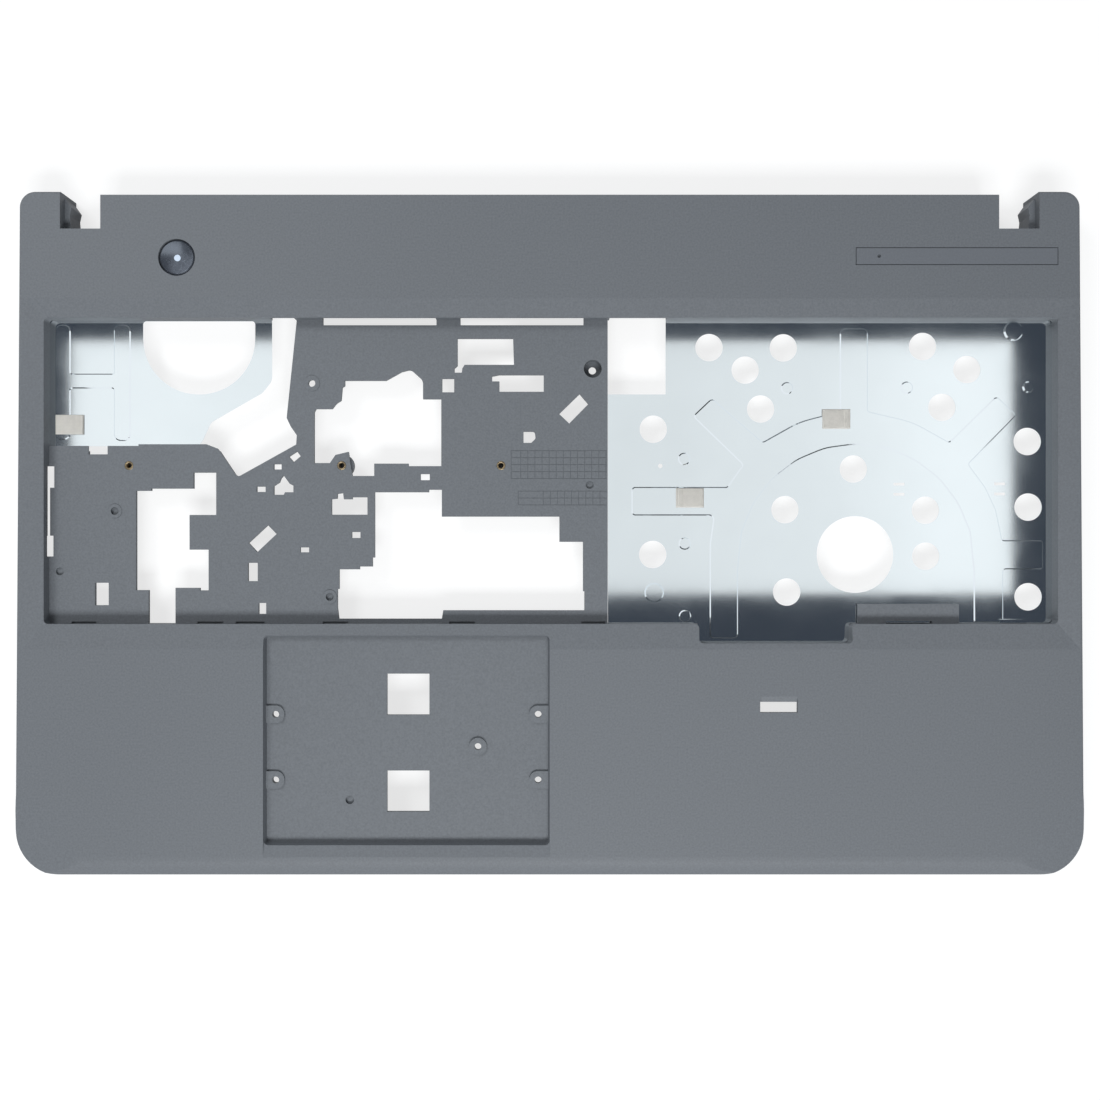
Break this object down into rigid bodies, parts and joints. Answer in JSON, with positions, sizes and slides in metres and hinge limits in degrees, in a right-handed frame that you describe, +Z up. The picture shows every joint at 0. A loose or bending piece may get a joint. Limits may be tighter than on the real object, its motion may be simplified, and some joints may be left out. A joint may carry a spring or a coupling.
{
  "type": "laptop palm rest",
  "caption": "Dark grey palm rest cover of a 15.6 inch notebook with open keyboard bay, touchpad recess, pressed metal plates and a round power button.",
  "frame": {"origin": "middle of the footprint, on the skirt rim that the part lies on", "axes": "+X to the right seen by the typist, +Y towards the hinges, +Z up out of the deck"},
  "size_m": [0.377, 0.241, 0.014],
  "materials": {
    "cover_plastic": "dark grey, finely speckled matte",
    "plate_steel": "bright smooth sheet",
    "gasket_fabric": "pale woven conductive fabric",
    "insert_brass": "turned brass",
    "strip_plastic": "smooth dark grey",
    "button_finish": "satin metallic grey",
    "light_guide": "milky clear",
    "carrier_plastic": "black"
  },
  "bodies": {
    "cover": {"palm_rest_cover": "cover_plastic", "drive_bay_plate": "plate_steel", "fan_bay_plate": "plate_steel", "fan_bay_gasket": "gasket_fabric", "drive_bay_gasket_rear": "gasket_fabric", "drive_bay_gasket_left": "gasket_fabric", "indicator_strip": "strip_plastic", "power_button_carrier": "carrier_plastic", "web_insert_left": "insert_brass", "web_insert_middle": "insert_brass", "web_insert_right": "insert_brass", "base_insert_rear_left": "insert_brass", "base_insert_rear_right": "insert_brass", "base_insert_front_left": "insert_brass", "base_insert_front_right": "insert_brass", "base_insert_touchpad_left": "insert_brass", "base_insert_touchpad_right": "insert_brass"},
    "button": {"power_button": "button_finish", "power_button_light_guide": "light_guide"}
  },
  "joints": [
    {"name": "power_button_press", "type": "slide", "parent": "cover", "child": "button", "axis": [0, 0, -1], "range_m": [0, 0.0005], "stiffness_N_per_m": 1000, "springref_m": -0.001}
  ]
}
